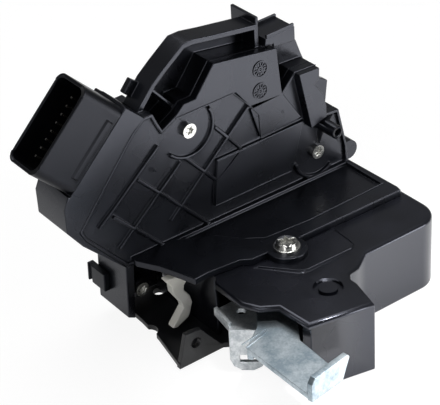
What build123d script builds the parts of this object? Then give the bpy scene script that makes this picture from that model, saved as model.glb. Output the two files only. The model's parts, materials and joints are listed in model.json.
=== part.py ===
"""Door latch actuator: a latch with claw and pawl under a moulded cover, and
a ribbed moulded housing with the locking drive standing on top of it.

Frame: millimetres, +Z up. The flat underside of the face plate lies on Z = 0
and bolts to the door. X runs along the ribbed face, Y runs into the housing.
The origin is the centre of fixing hole A on that underside.
"""
import os
from math import cos, radians, sin

from build123d import *

os.makedirs("parts", exist_ok=True)


def level(z):
    """Horizontal sketch plane at height z; extrudes upwards."""
    return Plane.XY.offset(z)


def facing(y):
    """Upright sketch plane at depth y, (x, z) on paper; extrudes to the front."""
    return Plane(origin=(0, y, 0), x_dir=(1, 0, 0), z_dir=(0, -1, 0))


def sideways(x):
    """Upright sketch plane at x, (y, z) on paper; extrudes to the right."""
    return Plane(origin=(x, 0, 0), x_dir=(0, 1, 0), z_dir=(1, 0, 0))


# Sizes
# Face plate: pressed steel, tapped for three M6 fixing screws.
plate_t = 2.5
fixing_r = 2.5
fixing_points = [(0, 0), (79, 13), (27, -50)]
locating_point = (-12.7, 13.8)
flange_front_y = -33.8
flange_hole = (-26.6, 9.4)
mouth_x = 50
mouth_w = 14
mouth_end_y = -22
latch_back_y = 22

# Latch mechanism between the face plate and the back plate.
claw_pivot = (67, -26)
pawl_pivot = (20.5, -35.5)
lever_pivot = (6, -46)
pivot_r = 4
lever_pivot_r = 3
run_gap = 0.08
mech_bottom = plate_t + 0.5
claw_t = 5
skin_t = 0.8
claw_r = 25
pawl_t = 5
back_plate_z = 12
back_plate_t = 2

# Latch cover: one deep moulding, flat top with a foot of the housing on it.
cover_top = 33
cover_wall = 2.4
cover_roof = 2.5
cover_corner_r = 12
cover_edge_r = 1.6

# Levers.
lock_lever_top = 21
lock_lever_t = 2
release_top = 26
release_t = 2.5

# Housing that stands on the latch cover.
face_y = 0
relief = 1.5
lid_t = 2.5
case_front = face_y + relief + lid_t
case_back = 22
case_wall = 2.2
rim_front = 5
rim_back = 15.5
rim_floor = 2
rim_wall = 2.4
tab_top = 119.5
tower_back = 10
tower_floor = 69.5
foot_top = 36
foot_floor = 34.4
rib_w = 1.4

# Lid screws, clamp screw.
lid_screw_points = [(0.2, 84.3), (66.6, 47.4)]
low_screw_point = (-28.9, 18.8)
screw_head_r = 3.2
screw_head_h = 2.2
screw_shank_r = 1.5
star_r = 1.9
clamp_head_r = 5.6
clamp_shank_r = 2
screw_lug_r = 8.6

# Plug socket, turned 45 degrees in the ribbed face.
socket_centre = (-43.2, 91)
socket_turn = 45
socket_w = 40
socket_d = 20
socket_h = 21.3
socket_wall = 1.6

# Worm drives of the locking motors.
gear_module = 1.0
worm_pitch = 3.1416
worm_r = 3.0
wheel_teeth = 24
wheel_r = gear_module * wheel_teeth / 2
small_teeth = 18
small_r = gear_module * small_teeth / 2
wheel_face = 3
drive_y = (case_front + case_back) / 2 - 1
lock_worm_z = 90
lock_worm_x = 14
dead_worm_z = 58
dead_worm_x = 31.5

# Outlines read from the photo, in the X-Y plane or the ribbed X-Z plane
plate_outline = [
    (-35.5, flange_front_y), (-13.3, flange_front_y), (-2, -42), (10, -54), (75, -54), (82, -49),
    (84.5, -43), (84.5, latch_back_y), (-29, latch_back_y), (-29.5, 2), (-31, -12),
]
cover_outline = [
    (-15.5, -34), (-15.2, -50.5), (-11.5, -57.8), (-5.2, -62.2), (-3.8, -79), (24.9, -85.2),
    (28.9, -70), (28.9, -66), (31, -63.4), (36.2, -62.5), (44.9, -57), (88.4, -57), (87.8, 3.2),
    (86.5, latch_back_y), (-12, latch_back_y), (-12, -30),
]
far_corner = (88.4, -57)
plug_base_outline = [
    (-36, cover_top), (-54.5, 52), (-61, 61), (-61, 72), (-58.5, 77.5), (-28.3, 105.9), (-20.5, 98.5),
    (-24, 80), (-24, cover_top),
]
lid_outline = [
    (-35, cover_top), (-52.9, 53.7), (-55.3, 58.9), (-27.2, 92.7), (-21.2, 98.1), (-16.3, 98.2),
    (-14.1, 92.8), (-12.5, 89.5), (-5.3, 93.5), (-1.5, 96.9), (4.5, 97), (14.3, 109.5), (46.5, 105.1),
    (48.5, 83.7), (55.3, 90.7), (66.8, 90.2), (66.6, 84.4), (64, 83), (68.5, 77), (70.2, 70.5),
    (70.2, 64.6), (79.1, 63.9), (83.5, 44), (84, cover_top),
]
rim_outline = [
    (-21, 97.8), (-12.6, 108), (-6.5, 113), (3.5, 120.4), (9, 120.6), (18, 119.2), (41.5, 116.2),
    (41.5, 100), (10, 90), (-20, 85),
]
notch_outline = [
    (42.2, 104.8), (43, 109.6), (58.3, 110.3), (58.3, 103), (56.7, 103), (56.7, 107.8), (45, 107.6),
    (45, 104.8),
]
notch_front = [(42.4, 106), (43, 109.6), (58.3, 110.3), (58.3, 103.6), (47, 104.4), (47, 106)]
back_right_outline = [
    (46, 103.5), (58, 103), (64.5, 99), (67, 92), (72, 79.5), (81.4, 73.3), (80, 62.8), (72, 60), (46, 60),
]
lever_gap = [
    (-20, -30), (-20, -80.5), (-3, -82), (-3, -74), (-0.8, -72), (-0.8, -62), (-4, -56), (-8, -54),
    (-8, -28),
]
foot_outline = [
    (-32.1, -2.4), (-27, -11.7), (-24.3, -19.6), (-21.4, -28.6), (-14.4, -28.2),
    (0.6, -30), (4.5, -32.8), (13, -33), (84.8, -34), (85.5, -31), (84.5, case_front),
    (-32.1, case_front),
]
foot_pocket = [
    (18, -23.5), (40, -25.2), (82, -24.2), (82, -0.8), (-10, -0.8), (4, -9), (11, -18),
]

# Face plate with its bent-up flange, the fishmouth slot and the tapped holes.
flange_outline = [(-35.5, 0), (-31.3, 15.4), (-23.9, 14.9), (-14.3, 2.8), (-13.3, 0)]
slot_point = (-32, -6.5)
slot_r = 4
with BuildPart() as face_plate:
    with BuildSketch(level(0)):
        with BuildLine():
            Polyline(*plate_outline, close=True)
        make_face()
        with Locations((mouth_x, mouth_end_y)):
            Circle(mouth_w / 2, mode=Mode.SUBTRACT)
        with Locations((mouth_x, (mouth_end_y + latch_back_y) / 2)):
            Rectangle(mouth_w, latch_back_y - mouth_end_y, mode=Mode.SUBTRACT)
        with Locations(slot_point):
            Circle(slot_r, mode=Mode.SUBTRACT)
        with Locations(*fixing_points):
            Circle(fixing_r, mode=Mode.SUBTRACT)
        with Locations(locating_point):
            Circle(fixing_r, mode=Mode.SUBTRACT)
        with Locations(claw_pivot, pawl_pivot):
            Circle(pivot_r - 1, mode=Mode.SUBTRACT)
    extrude(amount=plate_t)
    with BuildSketch(facing(flange_front_y + plate_t)):
        with BuildLine():
            Polyline(*flange_outline, close=True)
        make_face()
        with Locations(flange_hole):
            Circle(fixing_r, mode=Mode.SUBTRACT)
    extrude(amount=plate_t)
face_plate.part.label = "face_plate"

# Claw: forked steel plate, open at rest, with a thin moulded skin on top.
claw_open_angle = 130
fork_l = 0.8 * claw_r
fork_w = 12
claw_hub_r = 12
fork_reach = claw_r - 0.4 * fork_l
fork_x = claw_pivot[0] + fork_reach * cos(radians(claw_open_angle))
fork_y = claw_pivot[1] + fork_reach * sin(radians(claw_open_angle))
sector_r = 1.4 * claw_r
claw_sector = [
    (claw_pivot[0] + 2, claw_pivot[1]), (claw_pivot[0] + 8, claw_pivot[1] + sector_r),
    (claw_pivot[0] - 1.15 * sector_r, claw_pivot[1] + sector_r),
    (claw_pivot[0] - 1.15 * sector_r, claw_pivot[1] - sector_r),
    (claw_pivot[0] - 0.51 * sector_r, claw_pivot[1] - sector_r),
]
with BuildPart() as claw:
    with BuildSketch(level(mech_bottom)):
        with Locations(claw_pivot):
            Circle(claw_r)
        with BuildLine():
            Polyline(*claw_sector, close=True)
        make_face(mode=Mode.INTERSECT)
        with Locations(claw_pivot):
            Circle(claw_hub_r)
        with Locations(Location((fork_x, fork_y, 0), (0, 0, claw_open_angle))):
            Rectangle(fork_l, fork_w, mode=Mode.SUBTRACT)
        with Locations(claw_pivot):
            Circle(pivot_r + run_gap, mode=Mode.SUBTRACT)
    extrude(amount=claw_t)
claw.part.label = "claw"

with BuildPart() as claw_skin:
    with BuildSketch(level(mech_bottom + claw_t)):
        with Locations(claw_pivot):
            Circle(claw_r - 1)
        with BuildLine():
            Polyline(*claw_sector, close=True)
        make_face(mode=Mode.INTERSECT)
        with Locations(claw_pivot):
            Circle(claw_hub_r - 1)
        with Locations(Location((fork_x, fork_y, 0), (0, 0, claw_open_angle))):
            Rectangle(fork_l + 2, fork_w + 2, mode=Mode.SUBTRACT)
        with Locations(claw_pivot):
            Circle(pivot_r + run_gap, mode=Mode.SUBTRACT)
    extrude(amount=skin_t)
claw_skin.part.label = "claw_skin"


# Pawl under the clamp screw; its nose rides on the rim of the claw.
def off_rim(gap, angle):
    """Point at a distance outside the claw's rim, on a ray from its pivot."""
    reach = claw_r + gap
    return (claw_pivot[0] + reach * cos(radians(angle)), claw_pivot[1] + reach * sin(radians(angle)))


with BuildPart() as pawl:
    with BuildSketch(level(mech_bottom)):
        with Locations(pawl_pivot):
            Circle(8)
        with BuildLine():
            Polyline(
                (18, -29), (32, -33.5), off_rim(1.9, 217), off_rim(2.65, 225), off_rim(6.1, 226.3),
                (34, -43.8), (19, -40.5), close=True,
            )
        make_face()
        with Locations(pawl_pivot):
            Circle(pivot_r + run_gap, mode=Mode.SUBTRACT)
    extrude(amount=pawl_t)
    with BuildSketch(level(mech_bottom + pawl_t)):
        with Locations((31, -40.5)):
            Circle(2)
    extrude(amount=2.5)
pawl.part.label = "pawl"

# Back plate joins the two main pivots above the mechanism.
back_plate_outline = [
    (12, -28), (12, -42), (1, -42), (-1, -50), (10, -53), (24, -45), (40, -38), (58, -42),
    (76, -36), (78, -22), (66, -15), (60, -20), (44, -30),
]
with BuildPart() as back_plate:
    with BuildSketch(level(back_plate_z)):
        with BuildLine():
            Polyline(*back_plate_outline, close=True)
        make_face()
        with Locations(claw_pivot, pawl_pivot):
            Circle(pivot_r - 1, mode=Mode.SUBTRACT)
        with Locations(lever_pivot):
            Circle(lever_pivot_r - 1, mode=Mode.SUBTRACT)
    extrude(amount=back_plate_t)
back_plate.part.label = "back_plate"

# Shouldered pivots, set in the holes of both plates; the pawl's one takes the clamp screw.
back_top = back_plate_z + back_plate_t
pivots = []
for label, point, head_h in (("claw_pin", claw_pivot, 1.2), ("pawl_pin", pawl_pivot, cover_top - back_top)):
    with BuildPart() as pivot:
        with BuildSketch(level(0)):
            with Locations(point):
                Circle(pivot_r - 1)
        extrude(amount=back_top)
        with BuildSketch(level(plate_t)):
            with Locations(point):
                Circle(pivot_r)
        extrude(amount=back_plate_z - plate_t)
        with BuildSketch(level(back_top)):
            with Locations(point):
                Circle(pivot_r + 1)
        extrude(amount=head_h)
        if point == pawl_pivot:
            with BuildSketch(level(back_top)):
                with Locations(point):
                    Circle(clamp_shank_r + run_gap)
            extrude(amount=head_h, mode=Mode.SUBTRACT)
    pivot.part.label = label
    pivots.append(pivot)

with BuildPart() as lever_pin:
    with BuildSketch(level(back_plate_z)):
        with Locations(lever_pivot):
            Circle(lever_pivot_r - 1)
    extrude(amount=back_plate_t)
    with BuildSketch(level(back_top)):
        with Locations(lever_pivot):
            Circle(lever_pivot_r)
    extrude(amount=release_top + 0.3 - back_top)
    with BuildSketch(level(release_top + 0.3)):
        with Locations(lever_pivot):
            Circle(lever_pivot_r + 1.8)
    extrude(amount=1.5)
    with BuildSketch(level(back_top)):
        with Locations(lever_pivot):
            Circle(lever_pivot_r + 1.8)
    extrude(amount=lock_lever_top - lock_lever_t - 0.3 - back_top)
lever_pin.part.label = "lever_pin"

# Latch cover: deep moulding with open left side, fishmouth and bosses.
screw_pad = [(46.2, -35), (45.3, -49), (42, -51.5), (18.6, -51.1), (15.4, -49.5), (4, -35)]
screw_pad_h = 0.8
ring_point = (18, -64.7)
ring_r = 6.2
ring_core_r = 4
ring_depth = 1.6
sleeve_r = 5
sleeve_bore_r = 3.4
mouth_h = 14
with BuildPart() as latch_cover:
    with BuildSketch(level(0)) as cover_plan:
        with BuildLine():
            Polyline(*cover_outline, close=True)
        make_face()
        fillet(cover_plan.vertices().sort_by_distance((*far_corner, 0))[0], cover_corner_r)
    extrude(amount=cover_top)
    top_edges = latch_cover.faces().sort_by(Axis.Z)[-1].edges()
    fillet([edge for edge in top_edges if edge.center().Y < flange_front_y], cover_edge_r)
    with BuildSketch(level(0)) as cover_inside:
        with BuildLine():
            Polyline(*cover_outline, close=True)
        make_face()
        offset(amount=-cover_wall)
        inner_corner = cover_inside.vertices().sort_by_distance((*far_corner, 0))[0]
        fillet(inner_corner, cover_corner_r - cover_wall)
    extrude(amount=cover_top - cover_roof, mode=Mode.SUBTRACT)
    with BuildSketch(level(0)):
        with BuildLine():
            Polyline(*lever_gap, close=True)
        make_face()
    extrude(amount=cover_top - cover_roof, mode=Mode.SUBTRACT)
    with BuildSketch(level(0)):
        with BuildLine():
            Polyline(*plate_outline, close=True)
        make_face()
        offset(amount=0.2, kind=Kind.INTERSECTION)
    extrude(amount=plate_t, mode=Mode.SUBTRACT)
    with BuildSketch(level(0)):
        with Locations((mouth_x, 0)):
            Rectangle(mouth_w, 2 * latch_back_y + 2)
    extrude(amount=mouth_h, mode=Mode.SUBTRACT)
    with BuildSketch(level(plate_t)):
        with Locations(*fixing_points[1:]):
            Circle(sleeve_r)
            Circle(sleeve_bore_r, mode=Mode.SUBTRACT)
    extrude(until=Until.NEXT)
    with BuildSketch(level(cover_top - cover_roof)):
        with Locations(pawl_pivot):
            Circle(pivot_r + 1.2)
    extrude(amount=cover_roof, mode=Mode.SUBTRACT)
    with BuildSketch(level(cover_top)):
        with BuildLine():
            Polyline(*screw_pad, close=True)
        make_face()
        with Locations(pawl_pivot):
            Circle(screw_lug_r + 0.2, mode=Mode.SUBTRACT)
    extrude(amount=screw_pad_h)
    with BuildSketch(level(cover_top)):
        with Locations(ring_point):
            Circle(ring_r)
            Circle(ring_core_r, mode=Mode.SUBTRACT)
    extrude(amount=-ring_depth, mode=Mode.SUBTRACT)
latch_cover.part.label = "latch_cover"

# Rubber buffer that stops the claw at the closed end of the slot.
with BuildPart() as striker_buffer:
    with BuildSketch(level(plate_t)):
        with Locations((mouth_x, mouth_end_y - 11.5)):
            Rectangle(10, 6)
    extrude(amount=0.4)
striker_buffer.part.label = "striker_buffer"

# Torsion springs, coiled round the pins above claw, pawl and lock lever.
coil_springs = []
for label, point, z, pitch, height, coil_r, wire_r in (
    ("claw_spring", claw_pivot, mech_bottom + claw_t + skin_t + 0.7, 1.0, 2.0, 6, 0.4),
    ("pawl_spring", pawl_pivot, mech_bottom + pawl_t + 0.7, 1.0, 2.0, 5.5, 0.4),
    ("lever_spring", lever_pivot, lock_lever_top + 0.5, 0.8, 1.5, 4.6, 0.3),
):
    with BuildPart() as spring:
        with BuildLine(Plane(origin=(*point, z))):
            coil = Helix(pitch=pitch, height=height, radius=coil_r)
        with BuildSketch(Plane(origin=coil @ 0, z_dir=coil % 0)):
            RegularPolygon(wire_r, 6)
        sweep(is_frenet=True)
    spring.part.label = label
    coil_springs.append(spring)

# Outside release lever: broad zinc-plated strap with a bent-up end.
strap_outline = [
    (-25.3, -107), (-25.3, -67), (-14, -59), (0, -40), (12, -40), (13, -50), (2, -60), (-0.5, -68),
    (-6.6, -77), (-8.1, -104.3),
]
strap_eye_r = 7.5
end_outline = [(0, 0), (17.4, 0), (21.5, 9), (20.5, 10.5), (2, 10.5), (0, 8)]
end_plane = Plane(
    origin=(*strap_outline[0], release_top - release_t), x_dir=(17.2, 2.7, 0), z_dir=(2.7, -17.2, 0),
)
side_outline = [(0, 0), (13, 0), (13.8, 6), (0, 6)]
side_plane = Plane(origin=(*strap_outline[1], release_top - 6), x_dir=(11.3, 8, 0), z_dir=(8, -11.3, 0))
with BuildPart() as release_lever:
    with BuildSketch(level(release_top - release_t)):
        with BuildLine():
            Polyline(*strap_outline, close=True)
        make_face()
        with Locations(lever_pivot):
            Circle(strap_eye_r)
            Circle(lever_pivot_r + run_gap, mode=Mode.SUBTRACT)
    extrude(amount=release_t)
    with BuildSketch(end_plane):
        with BuildLine():
            Polyline(*end_outline, close=True)
        make_face()
    extrude(amount=-release_t)
    with BuildSketch(side_plane):
        with BuildLine():
            Polyline(*side_outline, close=True)
        make_face()
    extrude(amount=release_t)
release_lever.part.label = "release_lever"

# Lock lever: small zinc-plated bell crank with raised edges and a hung plate.
hung_outline = [
    (0, 0), (0, -15), (1.4, -18.3), (4.6, -20.4), (9.4, -20.6), (13, -18.6), (14.4, -14.5), (14.6, -6),
    (12.7, 0),
]
crank_outline = [(-19.2, -46.8), (-9.4, -54.9), (0.8, -53), (10, -50), (10, -40), (-4, -33), (-17.2, -34.2)]
raised_edges = [
    [(-19.2, -46.8), (-17.4, -46.8), (-15.4, -34.2), (-17.2, -34.2)],
    [(-9.4, -54.9), (0.8, -53), (0.8, -51.2), (-9.8, -53.2)],
]
raised_h = 1.8
rod_hole = (-8.8, -41.4)
rod_hole_r = 2
hung_plane = Plane(origin=(*crank_outline[0], lock_lever_top), x_dir=(9.8, -8.1, 0), z_dir=(-8.1, -9.8, 0))
window_point = (7.8, -14.4)
window_size = (7.6, 3.6)
with BuildPart() as lock_lever:
    with BuildSketch(level(lock_lever_top - lock_lever_t)):
        with BuildLine():
            Polyline(*crank_outline, close=True)
        make_face()
        with Locations(rod_hole):
            Circle(rod_hole_r, mode=Mode.SUBTRACT)
        with Locations(lever_pivot):
            Circle(lever_pivot_r + run_gap, mode=Mode.SUBTRACT)
    extrude(amount=lock_lever_t)
    with BuildSketch(level(lock_lever_top - lock_lever_t)):
        for edge_outline in raised_edges:
            with BuildLine():
                Polyline(*edge_outline, close=True)
            make_face()
    extrude(amount=lock_lever_t + raised_h)
    with BuildSketch(hung_plane):
        with BuildLine():
            Polyline(*hung_outline, close=True)
        make_face()
        with Locations(window_point):
            Rectangle(*window_size, mode=Mode.SUBTRACT)
    extrude(amount=lock_lever_t)
lock_lever.part.label = "lock_lever"

# Inside release lever: natural nylon, swings under the foot of the housing.
inside_pivot = (-21, 28.2)
inside_y = -15
inside_lever_t = 4
inside_pin_r = 1.8
inside_skin = 0.6
inside_outline = [
    (-28, 31.5), (-16.5, 31.5), (-17.6, 27.4), (-19.2, 25.4), (-19.4, 23.2), (-16.6, 19.1), (-15.8, 15.5),
    (-17.2, 10.6), (-18.3, 8.8), (-24, 6.2), (-26.4, 6.6), (-25.7, 8), (-20.4, 14.5), (-20.8, 16.6),
    (-25, 23.6), (-25.4, 27.5),
]
with BuildPart() as inside_lever:
    with BuildSketch(facing(inside_y + 2)):
        with BuildLine():
            Polyline(*inside_outline, close=True)
        make_face()
    extrude(amount=inside_lever_t)
    with BuildSketch(facing(inside_y + 2)):
        with Locations(inside_pivot):
            Circle(inside_pin_r + run_gap)
    extrude(amount=inside_lever_t - inside_skin, mode=Mode.SUBTRACT)
inside_lever.part.label = "inside_lever"

with BuildPart() as inside_pin:
    with BuildSketch(facing(case_front + 2)):
        with Locations(inside_pivot):
            Circle(inside_pin_r)
    extrude(amount=case_front + 2 - inside_y - 2 + inside_lever_t - 0.8)
inside_pin.part.label = "inside_pin"

# Case of the housing: tray with the rim, the plug base and the lower wall.
boss_r = 3
low_back = 14
low_boss_r = 4.5
inside_boss_r = 4
clip_back = 26
clip_l = 13
clip_t = 3
clip_low = 15.3
clip_high = 24
low_boss_y = 2
low_outline = [(-36, cover_top), (-37.1, 7.9), (-33.7, 6.2), (-12.4, 6.2), (-12.4, cover_top)]
low_recess = [(-31.8, cover_top), (-33.8, 5), (-10, 5), (-10, cover_top)]
fin_line = [(-12.4, 105.6), (-8, 100.4), (-3.4, 94.8)]
snap_outline = [(-17, 100.4), (-21.2, 104.2), (-17, 109.2), (-12.6, 105.6)]
snap_t = 3
tab_x = 40
tab_t = 1.5
tab_root = 108
lobe_point = (88, 37.8)
lobe_r = 4.6
tower_x = 50
tower_cut = (50, 55)
key_point = (-18, 48)
axle_r = 2.5
wheel_points = [
    (lock_worm_x, lock_worm_z - worm_r - wheel_r), (dead_worm_x, dead_worm_z - worm_r - small_r),
]
key_r = 6
socket_plane = Plane(
    origin=(socket_centre[0], face_y + socket_d / 2, socket_centre[1]),
    x_dir=(cos(radians(socket_turn)), 0, sin(radians(socket_turn))),
    z_dir=(-sin(radians(socket_turn)), 0, cos(radians(socket_turn))),
)
with BuildPart() as case:
    with BuildSketch(facing(rim_back)):
        with BuildLine():
            Polyline(*rim_outline, close=True)
        make_face()
    extrude(amount=rim_back - rim_front)
    with BuildSketch(facing(rim_back - rim_floor)):
        with BuildLine():
            Polyline(*rim_outline, close=True)
        make_face()
        offset(amount=-rim_wall, kind=Kind.INTERSECTION)
    extrude(amount=rim_back - rim_floor - rim_front, mode=Mode.SUBTRACT)
    with BuildSketch(facing(case_back)):
        with BuildLine():
            Polyline(*lid_outline, close=True)
        make_face()
        with BuildLine():
            Polyline(*plug_base_outline, close=True)
        make_face()
    extrude(amount=case_back - case_front)
    with BuildSketch(facing(case_front)):
        with BuildLine():
            Polyline(*plug_base_outline, close=True)
        make_face()
        with BuildLine():
            Polyline(*lid_outline, close=True)
        make_face(mode=Mode.SUBTRACT)
    extrude(amount=case_front - face_y)
    with BuildSketch(facing(tower_back)):
        with Locations(lobe_point):
            Circle(lobe_r)
    extrude(amount=tower_back - case_front)
    with BuildSketch(facing(case_back)):
        with Locations((tower_x, tower_floor)):
            Rectangle(*tower_cut, align=Align.MIN)
    extrude(amount=case_back - tower_back, mode=Mode.SUBTRACT)
    with BuildSketch(facing(tower_back + 4)):
        with BuildLine():
            Polyline(*back_right_outline, close=True)
        make_face()
    extrude(amount=4)
    with BuildSketch(facing(case_back - case_wall)):
        with BuildLine():
            Polyline(*lid_outline, close=True)
        make_face()
        offset(amount=-case_wall - 0.4, kind=Kind.INTERSECTION)
        with Locations((tower_x - case_wall, tower_floor - case_wall)):
            Rectangle(*tower_cut, align=Align.MIN, mode=Mode.SUBTRACT)
    extrude(amount=case_back - case_wall - case_front, mode=Mode.SUBTRACT)
    with BuildSketch(facing(case_back - case_wall)):
        with Locations(*lid_screw_points):
            Circle(boss_r)
    extrude(amount=case_back - case_wall - case_front)
    with BuildSketch(facing(case_back)):
        with BuildLine():
            Polyline(*low_outline, close=True)
        make_face()
    extrude(amount=case_back - face_y)
    with BuildSketch(facing(low_back)):
        with BuildLine():
            Polyline(*low_recess, close=True)
        make_face()
    extrude(amount=low_back - face_y, mode=Mode.SUBTRACT)
    with BuildSketch(facing(low_back)):
        with Locations(low_screw_point):
            Circle(low_boss_r)
        with Locations(inside_pivot):
            Circle(inside_boss_r)
    extrude(amount=low_back - low_boss_y)
    with BuildSketch(facing(low_back + 1.5)):
        with Locations(inside_pivot):
            Circle(inside_pin_r)
    extrude(amount=low_back + 1.5, mode=Mode.SUBTRACT)
    with BuildSketch(facing(case_back - case_wall)):
        with Locations(*lid_screw_points, low_screw_point):
            Circle(screw_shank_r + 0.05)
    extrude(amount=case_back - case_wall, mode=Mode.SUBTRACT)
    with BuildSketch(facing(case_back - case_wall)):
        with Locations(*wheel_points):
            Circle(axle_r)
    extrude(amount=case_back - case_wall - drive_y + 4)
    with BuildSketch(facing(case_back)):
        with Locations(key_point):
            Circle(key_r + run_gap)
    extrude(amount=case_wall, mode=Mode.SUBTRACT)
    with BuildSketch(facing(case_front + 1)):
        with BuildLine():
            Polyline(*lid_outline, close=True)
        make_face()
        offset(amount=-0.9, kind=Kind.INTERSECTION)
    extrude(amount=1, mode=Mode.SUBTRACT)
    with BuildSketch(facing(case_back)):
        with Locations((tab_x, tab_root)):
            Rectangle(tab_t, tab_top - tab_root, align=Align.MIN)
    extrude(amount=case_back - rim_front)
    with BuildSketch(facing(rim_back)):
        with BuildLine():
            Polyline(*notch_outline, close=True)
        make_face()
    extrude(amount=rim_back - case_front)
    with BuildSketch(facing(case_front)):
        with BuildLine():
            Polyline(*notch_front, close=True)
        make_face()
    extrude(amount=1.5)
    with BuildSketch(facing(rim_back)):
        with BuildLine():
            Polyline(*fin_line)
        trace(line_width=rib_w)
    extrude(amount=rim_back - rim_front)
    with BuildSketch(facing(rim_back)):
        with BuildLine():
            Polyline(*snap_outline, close=True)
        make_face()
    extrude(amount=snap_t)
    with BuildSketch(socket_plane):
        Rectangle(socket_w + 1, socket_d + 2)
    extrude(amount=socket_h, mode=Mode.SUBTRACT)
    with BuildSketch(socket_plane):
        RectangleRounded(socket_w + 3, socket_d, 4)
    extrude(amount=-4)
    with BuildSketch(socket_plane.offset(-5)):
        Rectangle(socket_w - 8, socket_d - 8)
    extrude(amount=5, mode=Mode.SUBTRACT)
case.part.label = "case"

# Lid of the housing: ribbed front wall with the foot on the latch cover.
post_point = (71, 59)
post_r = 3
post_h = 8.5
blade_w = 0.8
blade_count = 8
blade_pitch = (socket_w - 13.4) / (blade_count - 1)
blade_row = 6
block_outline = [
    (-5, 92.4), (-1.5, 96.5), (4.5, 96.7), (14.4, 109.1), (46.2, 104.8), (48.2, 84), (58.5, 68),
    (36, 67), (31, 84), (24.6, 92.5),
]
right_pad = [
    (55.6, 90.4), (66.5, 90), (66.3, 84.6), (63.6, 83), (68.2, 77), (69.9, 70.5), (69.9, 64.9),
    (61.3, 62.5),
]
pad_h = 3
flat_panel = [(10.6, 43), (13, 65), (59.4, 65.6), (52.3, 42.7)]
rib_lines = [
    [(-14.7, 82.7), (-38.5, 62.4), (-46.1, 56.5)], [(-4.5, 71), (-37.5, 42.8)],
    [(30.9, 83.6), (-11.6, 45.1)], [(-38.9, 59), (-15.5, 34.5)], [(-25.9, 71.5), (8.3, 34.6)],
    [(-1.7, 71.3), (12.3, 55.4)], [(13.3, 80.6), (26, 65.5)],
]
with BuildPart() as lid:
    with BuildSketch(facing(case_front)):
        with BuildLine():
            Polyline(*lid_outline, close=True)
        make_face()
    extrude(amount=lid_t)
    with BuildSketch(facing(face_y + relief)):
        with BuildLine():
            Polyline(*lid_outline, close=True)
        make_face()
        offset(amount=-rib_w, kind=Kind.INTERSECTION, mode=Mode.SUBTRACT)
    extrude(amount=relief)
    with BuildSketch(facing(face_y + relief)):
        for points in rib_lines:
            with BuildLine():
                Polyline(*points)
            trace(line_width=rib_w)
        with BuildLine():
            CenterArc(lid_screw_points[0], 12.5, 30, -170)
        trace(line_width=rib_w)
        with BuildLine():
            CenterArc(lid_screw_points[1], 12, 190, 120)
        trace(line_width=rib_w)
    extrude(amount=relief)
    with BuildSketch(facing(face_y + relief)):
        with BuildLine():
            Polyline(*block_outline, close=True)
        make_face()
        with BuildLine():
            Polyline(*flat_panel, close=True)
        make_face()
    extrude(amount=relief)
    with BuildSketch(facing(face_y + relief)):
        with BuildLine():
            Polyline(*right_pad, close=True)
        make_face()
    extrude(amount=relief + pad_h)
    with BuildSketch(level(cover_top)):
        with BuildLine():
            Polyline(*foot_outline, close=True)
        make_face()
        with Locations(pawl_pivot):
            Circle(screw_lug_r)
    extrude(amount=foot_top - cover_top)
    with BuildSketch(level(foot_floor)):
        with BuildLine():
            Polyline(*foot_pocket, close=True)
        make_face()
    extrude(amount=foot_top - foot_floor, mode=Mode.SUBTRACT)
    with BuildSketch(facing(face_y + relief)):
        with Locations(post_point):
            Circle(post_r)
    extrude(amount=relief + post_h)
    with BuildSketch(facing(face_y)):
        with Locations(post_point):
            Circle(post_r / 2)
    extrude(amount=post_h, mode=Mode.SUBTRACT)
    with BuildSketch(facing(case_front)):
        with Locations(*lid_screw_points):
            Circle(screw_shank_r + run_gap)
    extrude(amount=lid_t, mode=Mode.SUBTRACT)
    with BuildSketch(level(cover_top)):
        with Locations(pawl_pivot):
            Circle(clamp_shank_r + run_gap)
    extrude(amount=foot_top - cover_top, mode=Mode.SUBTRACT)
lid.part.label = "lid"

# Sealing cord in the groove between case and lid.
with BuildPart() as housing_seal:
    with BuildSketch(facing(case_front + 1)):
        with BuildLine():
            Polyline(*lid_outline, close=True)
        make_face()
        offset(amount=-1, kind=Kind.INTERSECTION)
    extrude(amount=1)
    with BuildSketch(facing(case_front + 1)):
        with BuildLine():
            Polyline(*lid_outline, close=True)
        make_face()
        offset(amount=-2.4, kind=Kind.INTERSECTION)
    extrude(amount=1, mode=Mode.SUBTRACT)
housing_seal.part.label = "housing_seal"

# Plug socket with its insert and two rows of blades.
with BuildPart() as plug_shell:
    with BuildSketch(socket_plane):
        RectangleRounded(socket_w, socket_d, 4)
    extrude(amount=socket_h)
    with BuildSketch(socket_plane.offset(socket_wall)):
        RectangleRounded(socket_w - 2 * socket_wall, socket_d - 2 * socket_wall, 3)
    extrude(amount=socket_h - socket_wall, mode=Mode.SUBTRACT)
    with BuildSketch(socket_plane):
        with GridLocations(blade_pitch, blade_row, blade_count, 2):
            Rectangle(blade_w, blade_w)
    extrude(amount=socket_wall, mode=Mode.SUBTRACT)
    with BuildSketch(socket_plane.offset(2)):
        with Locations((0, -socket_d / 2 - 0.4), (0, socket_d / 2 + 0.4)):
            Rectangle(socket_w - 14, 0.8)
    extrude(amount=3)
plug_shell.part.label = "plug_shell"

with BuildPart() as plug_blades:
    with BuildSketch(socket_plane.offset(-3)):
        with GridLocations(blade_pitch, blade_row, blade_count, 2):
            Rectangle(blade_w, blade_w)
    extrude(amount=3 + socket_h - 6)
plug_blades.part.label = "plug_blades"

with BuildPart() as blade_carrier:
    with BuildSketch(socket_plane.offset(-3)):
        Rectangle(socket_w - 8.2, socket_d - 8.2)
        with GridLocations(blade_pitch, blade_row, blade_count, 2):
            Rectangle(blade_w, blade_w, mode=Mode.SUBTRACT)
    extrude(amount=3)
blade_carrier.part.label = "blade_carrier"

# Locking motors: cans with flats, worms on their shafts, wheels below them.
motor_r = 8.5
motor_flat = 13
motor_l = 17.5
motor_nose = 0.7
lock_motor_x = lock_worm_x + 12.3
dead_motor_x = dead_worm_x + 10

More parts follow.
